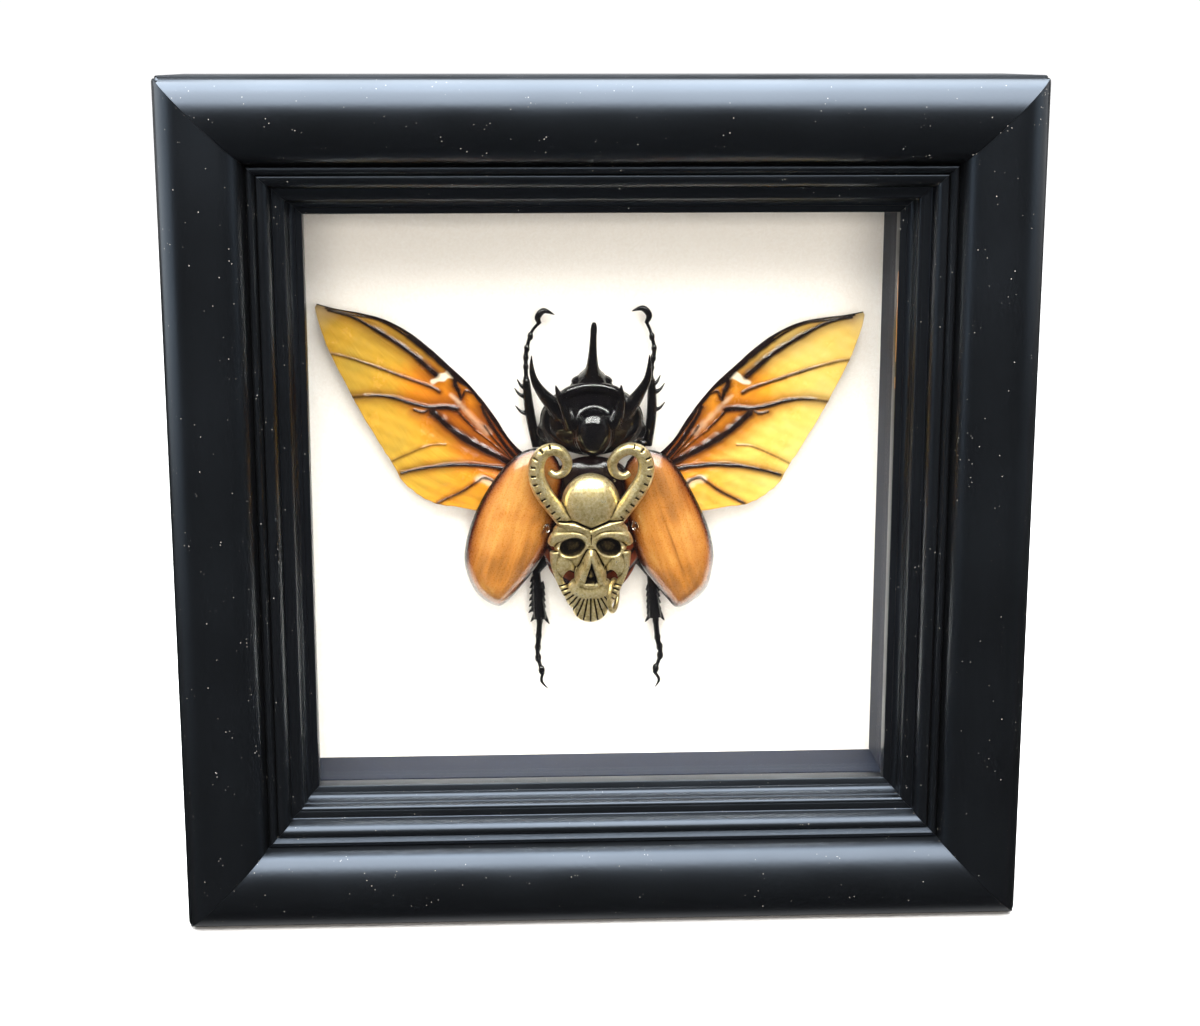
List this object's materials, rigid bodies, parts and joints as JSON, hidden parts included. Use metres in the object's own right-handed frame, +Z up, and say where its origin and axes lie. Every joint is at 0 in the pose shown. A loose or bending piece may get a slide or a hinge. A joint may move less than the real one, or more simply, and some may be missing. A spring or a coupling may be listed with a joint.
{
  "type": "framed beetle specimen",
  "caption": "Square black shadow box with a glazed front, holding a horned rhinoceros beetle with spread amber wings and a cast horned-skull charm.",
  "frame": {"origin": "middle of the underside of the bottom rail, half way through the depth", "axes": "+X right seen from the front, +Y into the frame, away from the viewer, +Z up"},
  "size_m": [0.2032, 0.051, 0.2032],
  "materials": {
    "black_lacquered_wood": "satin black lacquer over moulded wood",
    "picture_glass": "clear float glass",
    "black_liner_board": "matte black board",
    "white_mount_board": "matte white board",
    "brown_hardboard": "smooth side of brown hardboard",
    "blued_steel": "blued spring steel",
    "zinc_plated_steel": "bright zinc plating",
    "black_cuticle": "glossy black beetle cuticle",
    "red_brown_chitin": "glossy red-brown chitin",
    "tan_wing_case": "polished caramel wing case with a dark edge",
    "amber_wing": "glossy amber membrane with dark brown veins",
    "antique_bronze": "antiqued cast bronze, dark in the hollows",
    "clear_glue": "clear glue"
  },
  "bodies": {
    "root": {"frame_rail_bottom": "black_lacquered_wood", "frame_rail_right": "black_lacquered_wood", "frame_rail_top": "black_lacquered_wood", "frame_rail_left": "black_lacquered_wood", "glass_pane": "picture_glass", "liner_strip_bottom": "black_liner_board", "liner_strip_right": "black_liner_board", "liner_strip_top": "black_liner_board", "liner_strip_left": "black_liner_board", "mount_board": "white_mount_board", "back_panel": "brown_hardboard", "framing_point_1": "blued_steel", "framing_point_2": "blued_steel", "framing_point_3": "blued_steel", "framing_point_4": "blued_steel", "framing_point_5": "blued_steel", "framing_point_6": "blued_steel", "framing_point_7": "blued_steel", "framing_point_8": "blued_steel", "sawtooth_hanger": "zinc_plated_steel", "hanger_nail_left": "zinc_plated_steel", "hanger_nail_right": "zinc_plated_steel", "beetle_head": "black_cuticle", "beetle_pronotum": "black_cuticle", "fore_leg_left": "black_cuticle", "fore_leg_right": "black_cuticle", "mid_leg_left": "black_cuticle", "mid_leg_right": "black_cuticle", "hind_leg_left": "black_cuticle", "hind_leg_right": "black_cuticle", "beetle_body": "red_brown_chitin", "elytron_left": "tan_wing_case", "elytron_right": "tan_wing_case", "hindwing_left": "amber_wing", "hindwing_right": "amber_wing", "skull_charm": "antique_bronze", "charm_ring": "antique_bronze", "glue_dab_left": "clear_glue", "glue_dab_right": "clear_glue"}
  },
  "joints": []
}
